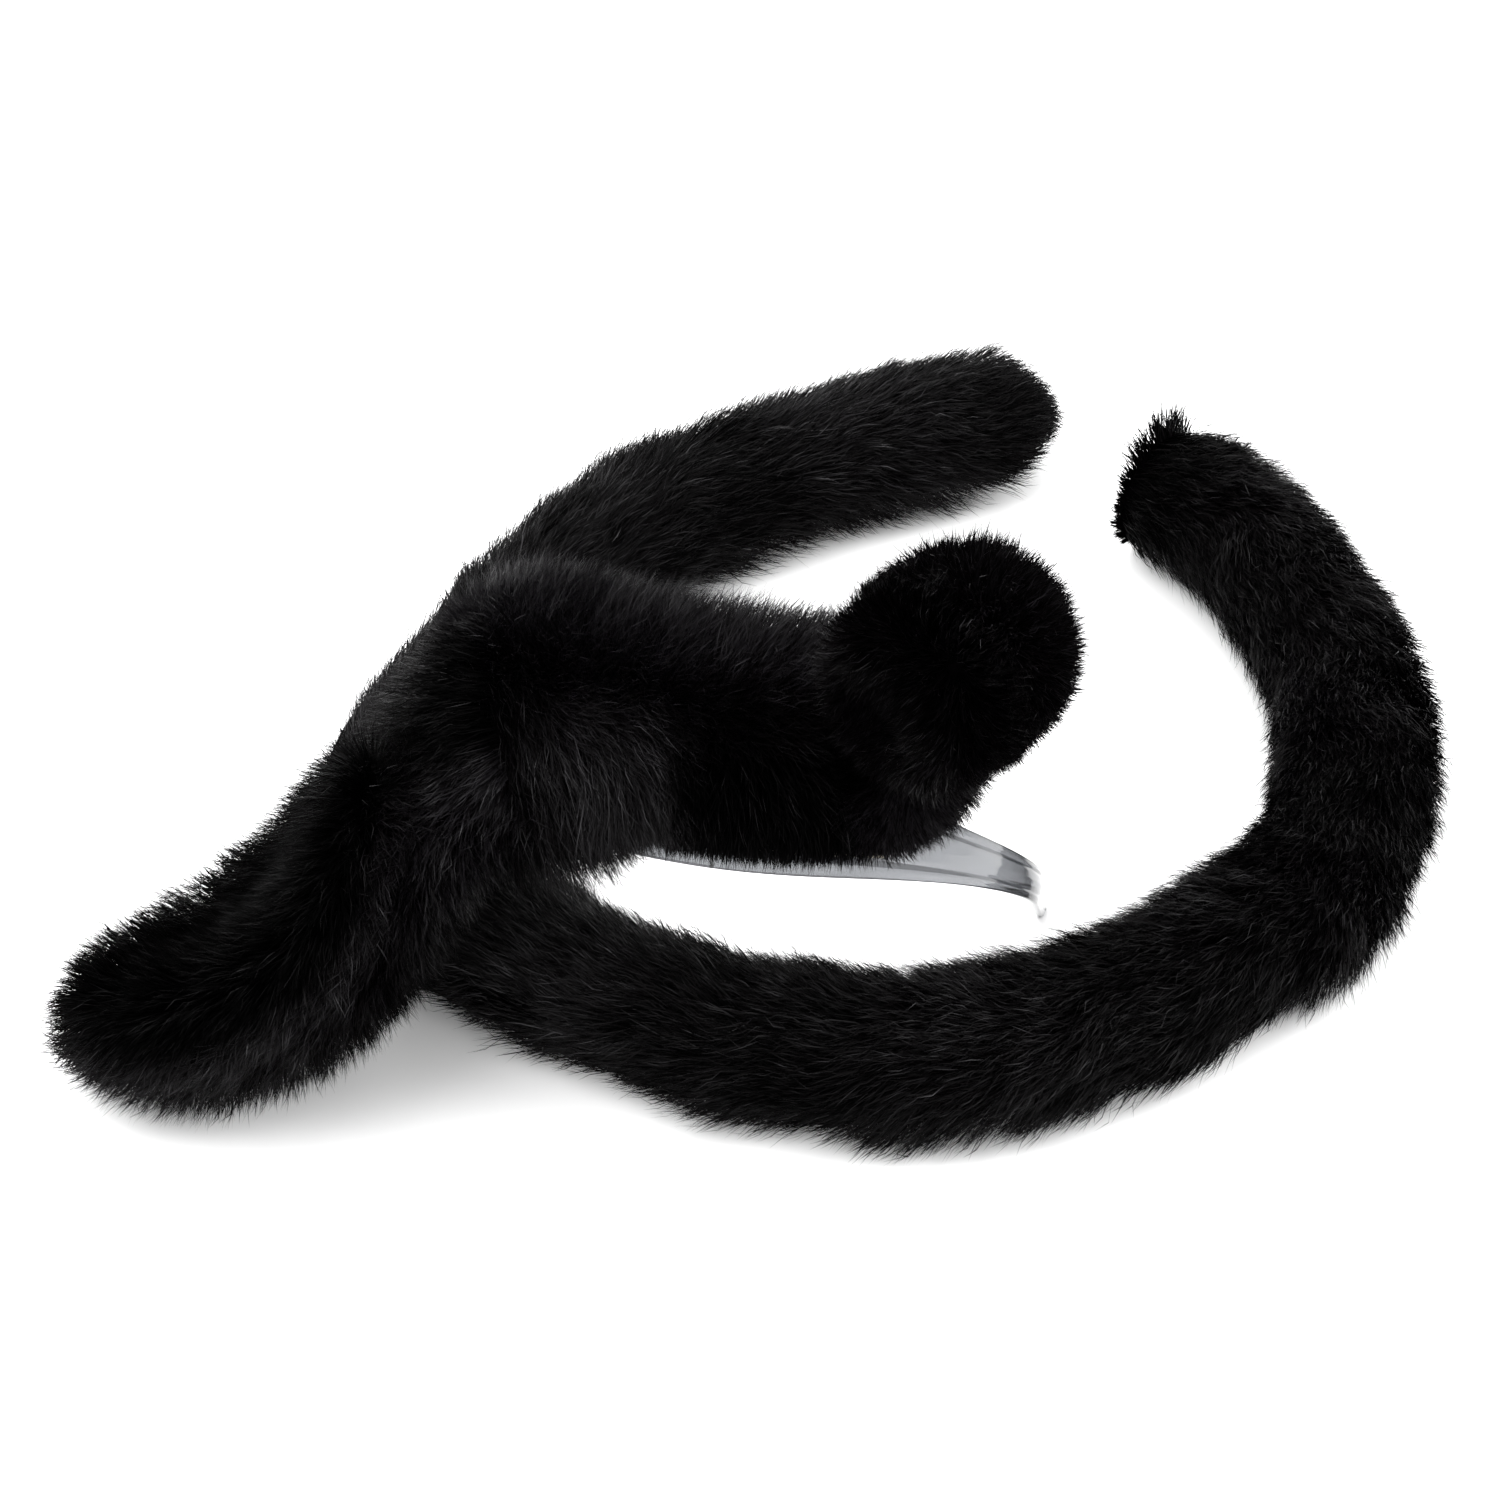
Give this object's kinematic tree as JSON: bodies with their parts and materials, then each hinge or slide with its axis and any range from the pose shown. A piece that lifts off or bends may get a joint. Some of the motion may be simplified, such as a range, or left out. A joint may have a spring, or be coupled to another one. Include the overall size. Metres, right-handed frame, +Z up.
{
  "type": "animal ears headband",
  "caption": "Clear plastic headband with a furry crown and floppy plush ears, leaning in the curl of its matching furry tail.",
  "frame": {"origin": "middle of the set's footprint, on the surface that the tail lies on", "axes": "+Z up from the surface, +Y away from the front of the set and +X to the right as seen from the front; the tail lies flat around the leaning headband"},
  "size_m": [0.2998, 0.3014, 0.1887],
  "materials": {
    "clear_plastic": "clear moulded polystyrene, polished",
    "black_fur": "long pile faux fur on knit backing",
    "black_cloth": "woven, matt",
    "white_fill": "polyester fibre filling",
    "hot_glue": "translucent hot melt adhesive"
  },
  "bodies": {
    "tail": {"tail_sleeve_middle": "black_fur", "tail_stuffing_middle": "white_fill"},
    "tail_base": {"tail_sleeve_base": "black_fur", "tail_stuffing_base": "white_fill", "tail_base_cap": "black_fur"},
    "tail_tip": {"tail_sleeve_tip": "black_fur", "tail_stuffing_tip": "white_fill"},
    "headband": {"band_crown": "clear_plastic", "adhesive_strip": "hot_glue", "crown_fur_cover": "black_fur", "ear_left_base_panel": "black_cloth", "ear_right_base_panel": "black_cloth"},
    "arm_left": {"band_arm_left": "clear_plastic"},
    "arm_right": {"band_arm_right": "clear_plastic"},
    "ear_left": {"ear_left_back_panel": "black_fur", "ear_left_stuffing": "white_fill", "ear_left_front_panel": "black_fur"},
    "ear_right": {"ear_right_back_panel": "black_fur", "ear_right_stuffing": "white_fill", "ear_right_front_panel": "black_fur"}
  },
  "joints": [
    {"name": "headband_lift", "type": "slide", "parent": "tail", "child": "headband", "axis": [0, 0, 1], "range_m": [0, 0.15]},
    {"name": "arm_left_flex", "type": "hinge", "parent": "headband", "child": "arm_left", "pos_m": [-0.0616, -0.05008, 0.05957], "axis": [0.1361, 0.7001, 0.7009], "range_deg": [0, 5], "stiffness_Nm_per_rad": 0.8},
    {"name": "arm_right_flex", "type": "hinge", "parent": "headband", "child": "arm_right", "pos_m": [0.04274, -0.07036, 0.05957], "axis": [-0.1361, -0.7001, -0.7009], "range_deg": [0, 5], "stiffness_Nm_per_rad": 0.8},
    {"name": "ear_left_raise", "type": "hinge", "parent": "headband", "child": "ear_left", "pos_m": [-0.07794, -0.06096, 0.08018], "axis": [-0.0212, 0.9796, -0.1997], "range_deg": [0, 60], "stiffness_Nm_per_rad": 0.05},
    {"name": "ear_right_tilt", "type": "hinge", "parent": "headband", "child": "ear_right", "pos_m": [0.02385, -0.08103, 0.1063], "axis": [0.6056, -0.5606, -0.5649], "range_deg": [-25, 25], "stiffness_Nm_per_rad": 0.05},
    {"name": "tail_base_bend", "type": "hinge", "parent": "tail", "child": "tail_base", "pos_m": [0.12974, -0.00559, 0.0155], "axis": [0, 0, -1], "range_deg": [-4, 15]},
    {"name": "tail_tip_bend", "type": "hinge", "parent": "tail", "child": "tail_tip", "pos_m": [-0.06939, 0.04758, 0.0155], "axis": [0, 0, 1], "range_deg": [-4, 15]}
  ],
  "couplings": [
    {"joint": "arm_right_flex", "follows": "arm_left_flex", "ratio": 1}
  ]
}
